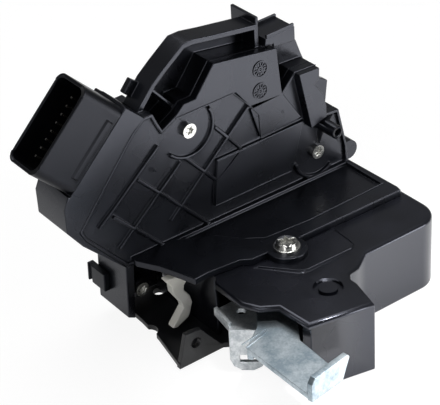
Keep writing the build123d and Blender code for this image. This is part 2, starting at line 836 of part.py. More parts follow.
motors = []
for label, x, z in (("lock_motor", lock_motor_x, lock_worm_z), ("deadlock_motor", dead_motor_x, dead_worm_z)):
    with BuildPart() as motor:
        with BuildSketch(sideways(x)):
            with Locations((drive_y, z)):
                Circle(motor_r)
                Rectangle(motor_flat, 2 * motor_r, mode=Mode.INTERSECT)
        extrude(amount=motor_l)
        with BuildSketch(sideways(x)):
            with Locations((drive_y, z)):
                Circle(3)
        extrude(amount=-motor_nose)
    motor.part.label = label
    motors.append(motor)

worm_l = 11
thread_turns = 3
core_r = 1.8

worms = []
for label, x, z, shaft_end in (
    ("lock_worm", lock_worm_x, lock_worm_z, lock_motor_x - motor_nose - 0.1),
    ("deadlock_worm", dead_worm_x, dead_worm_z, dead_motor_x - motor_nose - 0.1),
):
    with BuildPart() as worm:
        with BuildSketch(sideways(x - worm_l / 2)):
            with Locations((drive_y, z)):
                Circle(core_r)
        extrude(amount=shaft_end - x + worm_l / 2)
        with BuildLine():
            start = (x - thread_turns * worm_pitch / 2, drive_y, z)
            thread = Helix(worm_pitch, thread_turns * worm_pitch, core_r, start, (1, 0, 0))
        with BuildSketch(Plane(origin=thread @ 0, x_dir=(1, 0, 0), z_dir=thread % 0)):
            with BuildLine():
                Polyline((-0.75, -0.4), (0.75, -0.4), (0.35, 2), (-0.35, 2), close=True)
            make_face()
        sweep(is_frenet=True)
    worm.part.label = label
    worms.append(worm)

# Worm wheels with straight teeth, a hub and an eccentric drive pin each.
root_drop = 1.1
wheels = []
for label, point, radius, teeth, pin_reach, pin_r in (
    ("lock_wheel", wheel_points[0], wheel_r, wheel_teeth, 8, 1.5),
    ("deadlock_wheel", wheel_points[1], small_r, small_teeth, 5.4, 1.2),
):
    with BuildPart() as wheel:
        with BuildSketch(facing(drive_y + wheel_face / 2)):
            with Locations(point):
                Circle(radius - root_drop)
                with PolarLocations(radius - 0.15, teeth, start_angle=90 + 180 / teeth):
                    Trapezoid(1.8, 2.3, 76, rotation=-90)
                Circle(axle_r + run_gap, mode=Mode.SUBTRACT)
        extrude(amount=wheel_face)
        with BuildSketch(facing(drive_y - wheel_face / 2)):
            with Locations((point[0], point[1] - pin_reach)):
                Circle(pin_r)
        extrude(amount=3)
    wheel.part.label = label
    wheels.append(wheel)

# Key hub: turned from the hidden side by the lock cylinder's blade.
with BuildPart() as key_hub:
    with BuildSketch(facing(case_back + 2)):
        with Locations(key_point):
            Circle(key_r)
            Rectangle(7, 1.6, mode=Mode.SUBTRACT)
            Rectangle(1.6, 7, mode=Mode.SUBTRACT)
    extrude(amount=2 + case_wall + 0.5)
    with BuildSketch(facing(case_back - case_wall - 0.5)):
        with Locations(key_point):
            Circle(key_r + 1.5)
        with Locations((key_point[0], key_point[1] - 5)):
            RectangleRounded(5, 10, 2)
    extrude(amount=3)
key_hub.part.label = "key_hub"

# Circuit carrier with its pressed-on position switches.
carrier_y = case_back - case_wall - 0.8
with BuildPart() as circuit_carrier:
    with BuildSketch(facing(carrier_y)):
        with BuildLine():
            Polyline((-46, 62), (-24, 86), (-12, 86), (-5, 77), (-5, 60), (-45, 58.5), close=True)
        make_face()
    extrude(amount=1.6)
circuit_carrier.part.label = "circuit_carrier"

with BuildPart() as position_switches:
    with BuildSketch(facing(carrier_y - 1.6)):
        with Locations((-34, 66), (-21, 74), (-11, 66)):
            Rectangle(8.2, 6)
    extrude(amount=6)
    with BuildSketch(facing(carrier_y - 4)):
        with Locations((-34, 69.4), (-21, 77.4), (-11, 69.4)):
            Rectangle(1.4, 1.2)
    extrude(amount=1.4)
position_switches.part.label = "position_switches"

# Screws: three alike in the lid and the low boss, one flanged clamp screw.
small_screws = []
for label, points, seat_y in (
    ("lid_screws", lid_screw_points, face_y + relief), ("low_screw", [low_screw_point], low_boss_y),
):
    with BuildPart() as screw:
        with BuildSketch(facing(seat_y)):
            with Locations(*points):
                Circle(screw_head_r)
        extrude(amount=screw_head_h)
        with BuildSketch(facing(seat_y)):
            with Locations(*points):
                Circle(screw_shank_r)
        extrude(amount=-12)
        with BuildSketch(facing(seat_y - screw_head_h)):
            with Locations(*points):
                RegularPolygon(star_r, 3)
                RegularPolygon(star_r, 3, rotation=60)
        extrude(amount=-1.3, mode=Mode.SUBTRACT)
    screw.part.label = label
    small_screws.append(screw)

with BuildPart() as clamp_screw:
    with BuildSketch(level(foot_top)):
        with Locations(pawl_pivot):
            Circle(clamp_head_r)
    extrude(amount=1)
    with BuildSketch(level(foot_top)):
        with Locations(pawl_pivot):
            Circle(4.4)
    extrude(amount=3)
    with BuildSketch(level(foot_top - 18)):
        with Locations(pawl_pivot):
            Circle(clamp_shank_r)
    extrude(amount=18)
    with BuildSketch(level(foot_top + 3)):
        with Locations(pawl_pivot):
            RegularPolygon(2 * star_r, 3)
            RegularPolygon(2 * star_r, 3, rotation=60)
    extrude(amount=-2, mode=Mode.SUBTRACT)
clamp_screw.part.label = "clamp_screw"

# Return spring of the inside release lever.
with BuildPart() as inside_spring:
    with BuildLine():
        coil = Helix(1, 4, 2.8, (inside_pivot[0], inside_y + 2.6, inside_pivot[1]), (0, 1, 0))
    with BuildSketch(Plane(origin=coil @ 0, z_dir=coil % 0)):
        RegularPolygon(0.35, 6)
    sweep(is_frenet=True)
inside_spring.part.label = "inside_spring"


def wall_x(z):
    """Left face of the lower wall at height z, which leans outwards below."""
    (top_x, top_z), (low_x, low_z) = low_outline[0], low_outline[1]
    return top_x + (low_x - top_x) * (top_z - z) / (top_z - low_z)


# Clip block for the harness on the left side of the lower wall.
with BuildPart() as harness_clip:
    with BuildSketch(facing(clip_back)):
        with BuildLine():
            Polyline(
                (wall_x(clip_low), clip_low), (wall_x(clip_high), clip_high),
                (wall_x(clip_high) - clip_t, clip_high), (wall_x(clip_low) - clip_t, clip_low), close=True,
            )
        make_face()
    extrude(amount=clip_l)
    with BuildSketch(facing(clip_back - 1.2)):
        with BuildLine():
            Polyline(
                (wall_x(clip_low) - clip_t + 1, clip_low), (wall_x(clip_high) - clip_t + 1, clip_high),
                (wall_x(clip_high) - clip_t, clip_high), (wall_x(clip_low) - clip_t, clip_low), close=True,
            )
        make_face()
    extrude(amount=2, mode=Mode.SUBTRACT)
harness_clip.part.label = "harness_clip"

pieces = [
    face_plate, claw, claw_skin, pawl, back_plate, lever_pin, latch_cover, striker_buffer,
    release_lever, lock_lever, inside_lever, inside_pin, case, lid, housing_seal, plug_shell,
    plug_blades, blade_carrier, key_hub, circuit_carrier, position_switches, clamp_screw,
    inside_spring, harness_clip, *pivots, *coil_springs, *motors, *worms, *wheels, *small_screws,
]
for piece in pieces:
    export_step(piece.part, f"parts/{piece.part.label}.step")
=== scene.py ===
# %% [markdown]
# # Door latch actuator
# A vehicle door latch: black moulded covers over a steel face plate, with
# zinc-plated levers on its left side and the locking drive in the upright
# housing. The solids and their joints come packed, as a fixed frame. This
# lesson loads that frame, gives every node a real finish and rounds the
# moulded edges, because light on small radii is what makes plastic look
# moulded.

# %% Load the fixed frame
import json
import math

import bmesh
import bpy
from mathutils import Matrix, Vector
from mathutils.bvhtree import BVHTree


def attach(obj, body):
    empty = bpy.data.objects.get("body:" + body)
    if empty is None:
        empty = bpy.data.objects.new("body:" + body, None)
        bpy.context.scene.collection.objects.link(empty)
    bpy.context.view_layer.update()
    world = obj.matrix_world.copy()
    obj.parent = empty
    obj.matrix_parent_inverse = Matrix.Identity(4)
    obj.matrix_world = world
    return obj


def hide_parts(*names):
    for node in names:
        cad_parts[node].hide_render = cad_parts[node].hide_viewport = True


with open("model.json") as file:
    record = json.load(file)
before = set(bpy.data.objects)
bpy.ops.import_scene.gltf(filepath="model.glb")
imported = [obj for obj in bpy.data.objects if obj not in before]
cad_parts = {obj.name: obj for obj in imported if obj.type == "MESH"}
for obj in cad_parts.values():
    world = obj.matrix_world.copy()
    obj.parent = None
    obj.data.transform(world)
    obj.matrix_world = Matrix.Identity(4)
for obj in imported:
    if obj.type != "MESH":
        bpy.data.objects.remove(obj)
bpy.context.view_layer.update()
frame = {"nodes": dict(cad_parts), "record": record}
record = frame["record"]
body_of = {node: body for body, nodes in record["behaviour"]["bodies"].items() for node in nodes}
slot_of = {part["node"]: part["material_slot"] for part in record["subparts"]}

# %% [markdown]
# ## Colour and nodes
# Colours of plastics and platings are looked up as sRGB hex values, but the
# shader wants linear light, so one function converts them. A second one adds
# a node, sets its values and links its inputs, which keeps each material
# readable as a short list. Lengths are written in millimetres and turned to
# the scene's metres where they are used.

# %% Colour from hex
MM = 0.001


def linear(code):
    """Linear RGBA of an sRGB hex colour."""
    parts = [int(code[i:i + 2], 16) / 255 for i in (0, 2, 4)]
    return tuple(((p + 0.055) / 1.055) ** 2.4 if p > 0.04045 else p / 12.92 for p in parts) + (1.0,)


print("mid grey in linear light", [round(part, 3) for part in linear("808080")[:3]])

# %% Helpers for shader nodes
def add(owner, kind, settings=None, **links):
    """Add one node; settings are properties or plain socket values, links are output sockets."""
    node = owner.node_tree.nodes.new(kind)
    for key, value in (settings or {}).items():
        if key in node.inputs:
            node.inputs[key].default_value = value
        else:
            setattr(node, key, value)
    for key, output in links.items():
        owner.node_tree.links.new(output, node.inputs[key.replace("_", " ")])
    return node


def blank(name):
    """A new node material with nothing in it."""
    material = bpy.data.materials.new(name)
    material.use_nodes = True
    material.node_tree.nodes.clear()
    return material


def close_shader(material, shader):
    """Link the shader to the material's surface."""
    output = material.node_tree.nodes.new("ShaderNodeOutputMaterial")
    material.node_tree.links.new(shader.outputs["BSDF"], output.inputs["Surface"])
    print(material.name, "of", len(material.node_tree.nodes), "nodes")


# %% [markdown]
# ## Moulded plastics
# The covers are injection-moulded glass-filled nylon, coloured black. The
# mould is spark-eroded, which leaves a fine grain of about 0.15 mm, and the
# melt flow leaves soft shiny and dull areas some centimetres wide. Grain as
# geometry would cost millions of triangles, so it is bump only, and it is
# drawn 0.35 mm wide because the real one is too fine to show. One wide noise
# changes the roughness and, a little, the colour.

# %% The shader of a moulding
FLOW_MM = 22
FLOW_TONES = (0.35, 0.7)
FLOW_GLOSS = (-0.05, 0.07)
GRAIN_MM = 0.35
GRAIN_DEEP_MM = 0.08
GRAIN_STRENGTH = 0.12
NYLON_IOR = 1.53
COOL_GLEAM = "E9EDFF"


def moulding(name, dark, light, rough, mirror=0.5):
    """Spark-eroded moulding: grain as bump, flow in colour and gloss, mirror is the specular level."""
    plastic = blank(name)
    place = add(plastic, "ShaderNodeTexCoord")
    flow = add(
        plastic, "ShaderNodeTexNoise", {"Scale": 1 / (FLOW_MM * MM), "Detail": 2.0},
        Vector=place.outputs["Object"],
    )
    tint = add(plastic, "ShaderNodeValToRGB", Fac=flow.outputs["Fac"])
    darker, lighter = tint.color_ramp.elements
    darker.color = linear(dark)
    lighter.color = linear(light)
    darker.position, lighter.position = FLOW_TONES
    shiny, dull = (rough + change for change in FLOW_GLOSS)
    gloss = add(
        plastic, "ShaderNodeMapRange", {"To Min": shiny, "To Max": dull}, Value=flow.outputs["Fac"],
    )
    grain = add(
        plastic, "ShaderNodeTexNoise", {"Scale": 1 / (GRAIN_MM * MM), "Detail": 2.0},
        Vector=place.outputs["Object"],
    )
    bump = add(
        plastic, "ShaderNodeBump", {"Strength": GRAIN_STRENGTH, "Distance": GRAIN_DEEP_MM * MM},
        Height=grain.outputs["Fac"],
    )
    shader = add(
        plastic, "ShaderNodeBsdfPrincipled",
        {"IOR": NYLON_IOR, "Specular IOR Level": mirror, "Specular Tint": linear(COOL_GLEAM)},
        Base_Color=tint.outputs["Color"], Roughness=gloss.outputs["Result"], Normal=bump.outputs["Normal"],
    )
    close_shader(plastic, shader)
    return plastic


print("flow marks", FLOW_MM, "mm wide, grain", GRAIN_MM, "mm wide")

# %% The black covers
# The cover over the latch is the smoothest: its walls mirror the floor.
cover_nylon = moulding("glass_filled_nylon_cover", "06070A", "0D0E14", 0.25, mirror=0.6)
# The lid and the case are a little duller, with a soft cool sheen.
lid_nylon = moulding("glass_filled_nylon_lid", "07080B", "0C0E13", 0.27, mirror=0.52)
# The plug and the clip are the deepest black, with the weakest gleam.
socket_nylon = moulding("glass_filled_nylon_socket", "040507", "090A0D", 0.32, mirror=0.3)

# %% The other mouldings
# Polyester carriers look flat and dark, without a clear gleam.
carrier_plastic = moulding("pbt_carrier", "0E0F11", "16171A", 0.5)
# The inside lever is nylon without colour: a soft milky white.
natural_nylon = moulding("natural_nylon", "EAE8DE", "F4F3EE", 0.42)
# Acetal wheels are waxy and ivory, and the worms are the same in black.
natural_acetal = moulding("natural_acetal", "D2CFC2", "E2E0D6", 0.34)
black_acetal = moulding("black_acetal", "101114", "17181B", 0.3)
# Nitrile rubber is matt: almost all of its light is scattered.
seal_rubber = moulding("nitrile_rubber", "0C0C0C", "131313", 0.75)

# %% [markdown]
# ## Plated steel
# The levers are cold-rolled strip, stamped and zinc plated: bluish white,
# with faint rolling lines, cloudy patches where the plating took
# differently, and small crystal flecks. Clouds and flecks are added to one
# value, because the same spots are lighter and smoother at once. The lines
# are a noise drawn out along the rolling direction and used as bump. Lines
# and flecks are drawn some tenths of a millimetre wide, coarser than the
# real ones, so that they show.

# %% The shader of a plated metal
CLOUD_TONES = (0.36, 0.64)
CLOUD_GLOSS = (0.1, -0.06)
FLECK_MM = 0.9
FLECK_TONE = (0.06, -0.05)
ROLLED_OUT = (1.0, 0.06, 1.0)
LINE_DEEP_MM = 0.06
LINE_STRENGTH = 0.15


def plated_metal(name, dark, light, rough, cloud_mm, lines_mm):
    """Bright metal skin: cloudy tone with crystal flecks, rolled or drawn lines as bump."""
    metal = blank(name)
    place = add(metal, "ShaderNodeTexCoord")
    cloud = add(
        metal, "ShaderNodeTexNoise", {"Scale": 1 / (cloud_mm * MM), "Detail": 5.0, "Roughness": 0.65},
        Vector=place.outputs["Object"],
    )
    flecks = add(
        metal, "ShaderNodeTexVoronoi", {"Scale": 1 / (FLECK_MM * MM)}, Vector=place.outputs["Object"],
    )
    at_heart, at_rim = FLECK_TONE
    fleck_tone = add(
        metal, "ShaderNodeMapRange", {"From Max": 0.8, "To Min": at_heart, "To Max": at_rim},
        Value=flecks.outputs["Distance"],
    )
    mottle = add(metal, "ShaderNodeMath", {"operation": "ADD"}, Value=cloud.outputs["Fac"])
    metal.node_tree.links.new(fleck_tone.outputs["Result"], mottle.inputs[1])
    tone = add(metal, "ShaderNodeValToRGB", Fac=mottle.outputs[0])
    darker, lighter = tone.color_ramp.elements
    darker.color = linear(dark)
    lighter.color = linear(light)
    darker.position, lighter.position = CLOUD_TONES
    dull, shiny = (rough + change for change in CLOUD_GLOSS)
    gloss = add(
        metal, "ShaderNodeMapRange", {"To Min": dull, "To Max": shiny}, Value=mottle.outputs[0],
    )
    rolled = add(metal, "ShaderNodeMapping", {"Scale": ROLLED_OUT}, Vector=place.outputs["Object"])
    lines = add(
        metal, "ShaderNodeTexNoise", {"Scale": 1 / (lines_mm * MM), "Detail": 3.0},
        Vector=rolled.outputs["Vector"],
    )
    bump = add(
        metal, "ShaderNodeBump", {"Strength": LINE_STRENGTH, "Distance": LINE_DEEP_MM * MM},
        Height=lines.outputs["Fac"],
    )
    shader = add(
        metal, "ShaderNodeBsdfPrincipled", {"Metallic": 1.0},
        Base_Color=tone.outputs["Color"], Roughness=gloss.outputs["Result"], Normal=bump.outputs["Normal"],
    )
    close_shader(metal, shader)
    return metal


print("flecks", FLECK_MM, "mm wide, lines drawn out", round(1 / ROLLED_OUT[1]), "times")

# %% The plated pieces
# The small crank was plated in a barrel, which scuffs it to an even satin. Its colour is painted lighter
# than the lever's zinc, as painted light for the brightness on its top and ears.
satin_zinc_painted_light = plated_metal("satin_zinc_painted_light_plated_crank", "C4CACE", "F0F3F5", 0.5, 4, 0.4)
# The broad release lever is bluish, and reflections on it stay soft.
zinc_steel = plated_metal("zinc_plated_strip_steel", "8F9EA8", "C9D3D9", 0.36, 9, 0.5)
# Screw heads are smoother, so each shows one hard highlight.
bright_steel = plated_metal("zinc_plated_screw", "BABAB6", "E4E4E0", 0.22, 3, 0.3)
# Drawn spring wire is darker and grey.
wire_steel = plated_metal("drawn_spring_wire", "6A6A6C", "8E8E90", 0.3, 2, 0.3)
# Tin over brass is warm and bright on the plug's blades.
tinned_brass = plated_metal("tinned_blade", "C8C4BA", "E4E1D8", 0.22, 2, 0.3)

# %% [markdown]
# ## Electro-coated steel
# The face plate and the plates inside are dipped in black electro-coat,
# which flows into an even satin skin over the steel. The paint hides the
# metal, so the shader is no metal: a dark paint with a thin clear coat. A
# low noise about a millimetre wide gives the soft orange peel that breaks
# up its highlights.

# %% The shader of the black coat
FILM_MM = 14
PEEL_MM = 1.2
PEEL_DEEP_MM = 0.1
PEEL_STRENGTH = 0.1
PAINT_IOR = 1.5


def coated_steel(name, dark, light, rough):
    """Electro-coated steel: even satin black with a soft orange peel."""
    coat = blank(name)
    place = add(coat, "ShaderNodeTexCoord")
    film = add(
        coat, "ShaderNodeTexNoise", {"Scale": 1 / (FILM_MM * MM), "Detail": 3.0},
        Vector=place.outputs["Object"],
    )
    tone = add(coat, "ShaderNodeValToRGB", Fac=film.outputs["Fac"])
    darker, lighter = tone.color_ramp.elements
    darker.color = linear(dark)
    lighter.color = linear(light)
    peel = add(
        coat, "ShaderNodeTexNoise", {"Scale": 1 / (PEEL_MM * MM), "Detail": 1.0},
        Vector=place.outputs["Object"],
    )
    bump = add(
        coat, "ShaderNodeBump", {"Strength": PEEL_STRENGTH, "Distance": PEEL_DEEP_MM * MM},
        Height=peel.outputs["Fac"],
    )
    shader = add(
        coat, "ShaderNodeBsdfPrincipled",
        {"IOR": PAINT_IOR, "Roughness": rough, "Coat Weight": 0.2, "Coat Roughness": 0.3},
        Base_Color=tone.outputs["Color"], Normal=bump.outputs["Normal"],
    )
    close_shader(coat, shader)
    return coat


# The skin is lighter than the nylon beside it, and its gleam is softer.
black_steel = coated_steel("electro_coated_steel", "191A1C", "222326", 0.34)

# %% [markdown]
# ## Which finish goes where
# Each node names a material slot in the frame's record, and one table gives
# way on the real latch, so a second table names those nodes themselves. The crank's finish there is also
# painted lighter, as painted light.

# %% Finish of each slot and node
finish_of = {
    "black_plastic": lid_nylon,
    "black_steel": black_steel,
    "zinc_steel": zinc_steel,
    "bright_steel": bright_steel,
    "spring_steel": wire_steel,
    "natural_nylon": natural_nylon,
    "gear_plastic": natural_acetal,
    "worm_plastic": black_acetal,
    "tin": tinned_brass,
    "rubber_black": seal_rubber,
    "switch_plastic": carrier_plastic,
}
own_finish = {
    "latch_cover": cover_nylon,
    "plug_shell": socket_nylon,
    "harness_clip": socket_nylon,
    # The crank's zinc is painted lighter than the lever's: painted light.
    "lock_lever": satin_zinc_painted_light,
}
print("slots", len(finish_of), "nodes with a finish of their own", len(own_finish))

# %% [markdown]
# ## Rounded mouldings and stampings
# A mould never gives a knife edge, and a stamping is tumbled, so each node
# that shows is copied, welded and cleaned into plain faces, and its edges
# are bevelled. The radius is what the real process leaves: half a millimetre
# on thick mouldings, less on ribs and steel. A Bevel modifier could do this,
# but its clamp shrinks every radius to what the shortest edge allows, so the
# operator is given only the edges that are long enough for their radius.

# %% Bevel the long sharp edges
SHARP = math.radians(35)
ROOM_IN_WIDTHS = 2.2


def round_edges(mesh, width):
    """Bevel the sharp edges of a bmesh that are long enough for this width."""
    long_edges = [
        edge for edge in mesh.edges
        if len(edge.link_faces) == 2
        and edge.calc_face_angle(0) > SHARP
        and edge.calc_length() > ROOM_IN_WIDTHS * width
    ]
    bmesh.ops.bevel(
        mesh, geom=long_edges, offset=width, offset_type="OFFSET", segments=2, profile=0.5,
        affect="EDGES", clamp_overlap=False, material=-1,
    )


print("edges that turn more than", round(math.degrees(SHARP)), "degrees are rounded")

# %% [markdown]
# Without its clamp the bevel can overshoot where a corner is narrow: the
# mitre of two nearly parallel edges lands far outside. On a finished piece
# that would be a thin spike. A round edge stays within about half its width
# of the old surface, so any point clearly further off is put back on it.

# %% Put stray points back
STRAY_IN_WIDTHS = 0.6


def tuck_strays(mesh, surface, reach):
    """Put each point that lies further than reach from the old surface back on it."""
    strays = 0
    for vertex in mesh.verts:
        near, _, _, gap = surface.find_nearest(vertex.co)
        if gap > reach:
            vertex.co = near
            strays += 1
    return strays


print("a point may lie", STRAY_IN_WIDTHS, "widths off its old surface")

# %% [markdown]
# The copy is welded first, because a CAD mesh is loose triangles, and flat
# neighbours are joined so that only real edges are left. Faces of more than
# four corners are then cut into triangles again, since the bevel can break
# them. The latch cover keeps its whole faces: cut up, it would smear the
# light round its ring. Smooth shading with weighted normals keeps the large
# faces flat and lets only the narrow bevels turn.

# %% A rounded copy of a node
WELD_MM = 0.02
FLAT = math.radians(0.6)
HARD_FROM = math.radians(40)
LARGE_FACES_FIRST = 100
whole_faces = ("latch_cover",)


def clean_mesh(node):
    """A welded bmesh of the node, with its flat triangles joined into plain faces."""
    mesh = bmesh.new()
    mesh.from_mesh(frame["nodes"][node].data)
    bmesh.ops.remove_doubles(mesh, verts=mesh.verts, dist=WELD_MM * MM)
    bmesh.ops.dissolve_limit(mesh, angle_limit=FLAT, verts=mesh.verts, edges=mesh.edges)
    if node not in whole_faces:
        bmesh.ops.triangulate(mesh, faces=[face for face in mesh.faces if len(face.verts) > 4])
    return mesh


def smooth_shade(piece):
    """Smooth shading that keeps large faces flat."""
    for face in piece.data.polygons:
        face.use_smooth = True
    piece.data.set_sharp_from_angle(angle=HARD_FROM)
    flat_faces = piece.modifiers.new("flat_faces", "WEIGHTED_NORMAL")
    flat_faces.keep_sharp = True
    flat_faces.weight = LARGE_FACES_FIRST


def rounded_copy(node, width_mm):
    """A copy of the node with bevelled edges, in the node's place."""
    piece = bpy.data.objects.new(node + "_moulded", frame["nodes"][node].data.copy())
    bpy.context.scene.collection.objects.link(piece)
    mesh = clean_mesh(node)
    surface = BVHTree.FromBMesh(mesh)
    round_edges(mesh, width_mm * MM)
    strays = tuck_strays(mesh, surface, STRAY_IN_WIDTHS * width_mm * MM)
    print(piece.name, len(mesh.faces), "faces, strays put back:", strays)
    mesh.to_mesh(piece.data)
    mesh.free()
    smooth_shade(piece)
    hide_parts(node)
    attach(piece, body_of[node])
    return piece


print("kept in whole faces:", *whole_faces)

# %% Dress every node
edge_mm = {
    "latch_cover": 0.5,
    "inside_lever": 0.5,
    "case": 0.4,
    "plug_shell": 0.4,
    "harness_clip": 0.4,
    "lid": 0.35,
    "release_lever": 0.3,
    "lock_lever": 0.3,
    "face_plate": 0.3,
    "key_hub": 0.3,
    "clamp_screw": 0.25,
    "lid_screws": 0.25,
    "low_screw": 0.25,
}
for node, solid in frame["nodes"].items():
    shown = rounded_copy(node, edge_mm[node]) if node in edge_mm else solid
    shown.data.materials.clear()
    shown.data.materials.append(own_finish.get(node, finish_of[slot_of[node]]))
print("dressed", len(frame["nodes"]), "nodes,", len(edge_mm), "of them with rounded edges")

# %% [markdown]
# ## Lines of the mould
# A mould is built of several blocks, and where two meet a thin raised line
# is left on the plastic. The lines stand about a third of a millimetre proud
# and catch light, so they are modelled and not painted: a row of points is
# extruded into a wall, Solidify gives the wall its thickness and a Bevel
# modifier softens its edges. The foot of the wall is sunk into the node, so
# that no gap shows under it.

# %% Raised lines
SUNK_MM = 0.2
LINE_SOFT_MM = 0.12


def add_piece(name, mesh, finish, node):
    """Make an object of a bmesh; it rides with the node's body and takes the finish it is given."""
    data = bpy.data.meshes.new(name)
    mesh.to_mesh(data)
    mesh.free()
    piece = bpy.data.objects.new(name, data)
    bpy.context.scene.collection.objects.link(piece)
    piece.data.materials.append(finish)
    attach(piece, body_of[node])
    return piece


def raised_line(name, points, rise, node, finish, width_mm=0.5):
    """A raised line: corner points in millimetres, pulled up by rise from just under the surface."""
    mesh = bmesh.new()
    rise = Vector(rise)
    foot = -SUNK_MM * rise.normalized()
    row = [mesh.verts.new((Vector(point) + foot) * MM) for point in points]
    path = [mesh.edges.new(pair) for pair in zip(row, row[1:])]
    wall = bmesh.ops.extrude_edge_only(mesh, edges=path)["geom"]
    tips = [item for item in wall if isinstance(item, bmesh.types.BMVert)]
    bmesh.ops.translate(mesh, verts=tips, vec=(rise - foot) * MM)
    piece = add_piece(name, mesh, finish, node)
    thick = piece.modifiers.new("thickness", "SOLIDIFY")
    thick.thickness = width_mm * MM
    thick.offset = 0
    soften = piece.modifiers.new("edge_round", "BEVEL")
    soften.width = LINE_SOFT_MM * MM
    soften.segments = 2
    print(name, "of", len(points), "points")


print("a line is sunk", SUNK_MM, "mm and its edges are rounded by", LINE_SOFT_MM, "mm")

# %% [markdown]
# The lid's ribbed face lies at Y = 0 and faces forward. Two lines frame its
# upper and its lower panel, where the blocks of the mould met.

# %% Lines on the ribbed face
FORWARD = (0, -0.35, 0)
upper_panel = [(-5.8, 92), (23.3, 92.7), (31.9, 83.1), (35.8, 78), (36.3, 66.4), (58.6, 67.4)]
lower_panel = [(35, 64.6), (13.3, 64.4), (10.8, 43.4), (51.6, 43.6)]
raised_line("upper_panel_line", [(x, 0, z) for x, z in upper_panel], FORWARD, "lid", lid_nylon)
raised_line("lower_panel_line", [(x, 0, z) for x, z in lower_panel], FORWARD, "lid", lid_nylon)

# %% [markdown]
# The press that bends the release lever leaves two creases across it. They
# are wider and lower than a line of a mould, but the same helper makes them.

# %% Creases of the release lever
LEVER_TOP = 26
CREASE_RISE = (0, 0, 0.25)
creases = [
    [(-25.8, -64.6), (-12.4, -62.7)],
    [(-25.7, -67.1), (-12.6, -64.3)],
]
for number, crease in enumerate(creases, 1):
    ends = [(x, y, LEVER_TOP) for x, y in crease]
    raised_line(
        f"strap_crease_{number}", ends, CREASE_RISE, "release_lever", zinc_steel, width_mm=0.7,
    )

# %% [markdown]
# The lid's foot lies on the latch cover. It has a thin line along its rim
# and a thicker one along its front edge, and the cover has one round the
# pad of the clamp screw.

# %% Lines on the foot and the screw pad
UPWARD = (0, 0, 0.35)
FOOT_TOP = 36
PAD_TOP = 33.8
foot_rim = [(11.5, -19.2), (18, -24.2), (40, -25.9), (82.6, -24.9)]
foot_edge = [(29.4, -32.9), (84.2, -33.5)]
pad_edge = [(45.8, -36), (44.9, -48.8), (41.8, -51.1), (18.7, -50.7), (15.8, -49.2), (5, -36)]
raised_line("foot_rim_line", [(x, y, FOOT_TOP) for x, y in foot_rim], UPWARD, "lid", lid_nylon)
raised_line(
    "foot_edge_line", [(x, y, FOOT_TOP) for x, y in foot_edge], UPWARD, "lid", lid_nylon, width_mm=0.9,
)
raised_line(
    "screw_pad_line", [(x, y, PAD_TOP) for x, y in pad_edge], UPWARD, "latch_cover", cover_nylon,
)

# %% [markdown]
# The open catch at the case's upper right has a thin lip along its front
# and its back. A lip is a line too, only thicker and four times as high.

# %% Lips of the catch
LIP_RISE = (0, 0, 1.4)
catch_top = [(43.6, 109.7), (57.9, 110.3)]
lip_y = {"front": 3.1, "back": 14.9}
for side, y in lip_y.items():
    ends = [(x, y, z) for x, z in catch_top]
    raised_line(f"catch_lip_{side}", ends, LIP_RISE, "case", lid_nylon, width_mm=1.1)

# %% [markdown]
# ## Date dials
# A mould carries small round inserts that show when a piece was made: a rim
# with twelve ticks, and a hub with a pointer that is turned to one of them.
# A rim could be a cylinder with a hole cut in it, but a small rectangle spun
# about its centre needs no cut. It is built flat, where turning is simple,
# then turned upright and set on the ribbed face.

# %% Tools for rings
RING_STEPS = 32
RING_WELD_MM = 0.01


def spun_ring(mesh, inner_mm, outer_mm, height_mm):
    """Spin a closed rectangle about Z: a flat ring with its foot below zero."""
    outline = (
        (inner_mm, -SUNK_MM), (outer_mm, -SUNK_MM), (outer_mm, height_mm), (inner_mm, height_mm),
    )
    corners = [mesh.verts.new((radius * MM, 0, z * MM)) for radius, z in outline]
    profile = [mesh.edges.new(pair) for pair in zip(corners, corners[1:] + corners[:1])]
    bmesh.ops.spin(
        mesh, geom=corners + profile, cent=(0, 0, 0), axis=(0, 0, 1), angle=math.tau,
        steps=RING_STEPS, use_merge=True,
    )
    bmesh.ops.remove_doubles(mesh, verts=mesh.verts, dist=RING_WELD_MM * MM)


def set_on_face(mesh, x_mm, z_mm):
    """Turn a bmesh built on the X-Y plane upright and set it on the ribbed face."""
    upright = Matrix.Rotation(math.radians(90), 3, "X")
    bmesh.ops.recalc_face_normals(mesh, faces=mesh.faces)
    bmesh.ops.rotate(mesh, verts=mesh.verts, cent=(0, 0, 0), matrix=upright)
    bmesh.ops.translate(mesh, verts=mesh.verts, vec=(x_mm * MM, 0, z_mm * MM))


print("a ring is spun in", RING_STEPS, "steps")

# %% Dials with twelve ticks
DIAL_RADIUS = 3.7
DIAL_WALL = 0.4
DIAL_RISE = 0.4
HUB_INNER = 0.7
HUB_OUTER = 1.3
TICKS = 12
TICK_SIZE = (1.3, 0.45, 0.8)
TICK_AT = 0.62 * DIAL_RADIUS
POINTER_SIZE = (1.5, 0.35, 0.8)


def bar(mesh, size_mm):
    """A small bar at the centre of a bmesh; its points are returned."""
    points = bmesh.ops.create_cube(mesh, size=MM)["verts"]
    bmesh.ops.scale(mesh, verts=points, vec=size_mm)
    return points


def date_dial(name, x_mm, z_mm):
    """A rim with twelve ticks round a hub with a pointer bar."""
    mesh = bmesh.new()
    spun_ring(mesh, DIAL_RADIUS - DIAL_WALL, DIAL_RADIUS, DIAL_RISE)
    spun_ring(mesh, HUB_INNER, HUB_OUTER, DIAL_RISE)
    for tick in range(TICKS):
        turn = Matrix.Rotation(math.tau * tick / TICKS, 3, "Z")
        points = bar(mesh, TICK_SIZE)
        bmesh.ops.translate(mesh, verts=points, vec=(TICK_AT * MM, 0, 0))
        bmesh.ops.rotate(mesh, verts=points, cent=(0, 0, 0), matrix=turn)
    bar(mesh, POINTER_SIZE)
    set_on_face(mesh, x_mm, z_mm)
    add_piece(name, mesh, lid_nylon, "lid")
    print(name, "with", TICKS, "ticks")


date_dial("date_dial_upper", 37.5, 98.8)
date_dial("date_dial_lower", 37.0, 88.7)

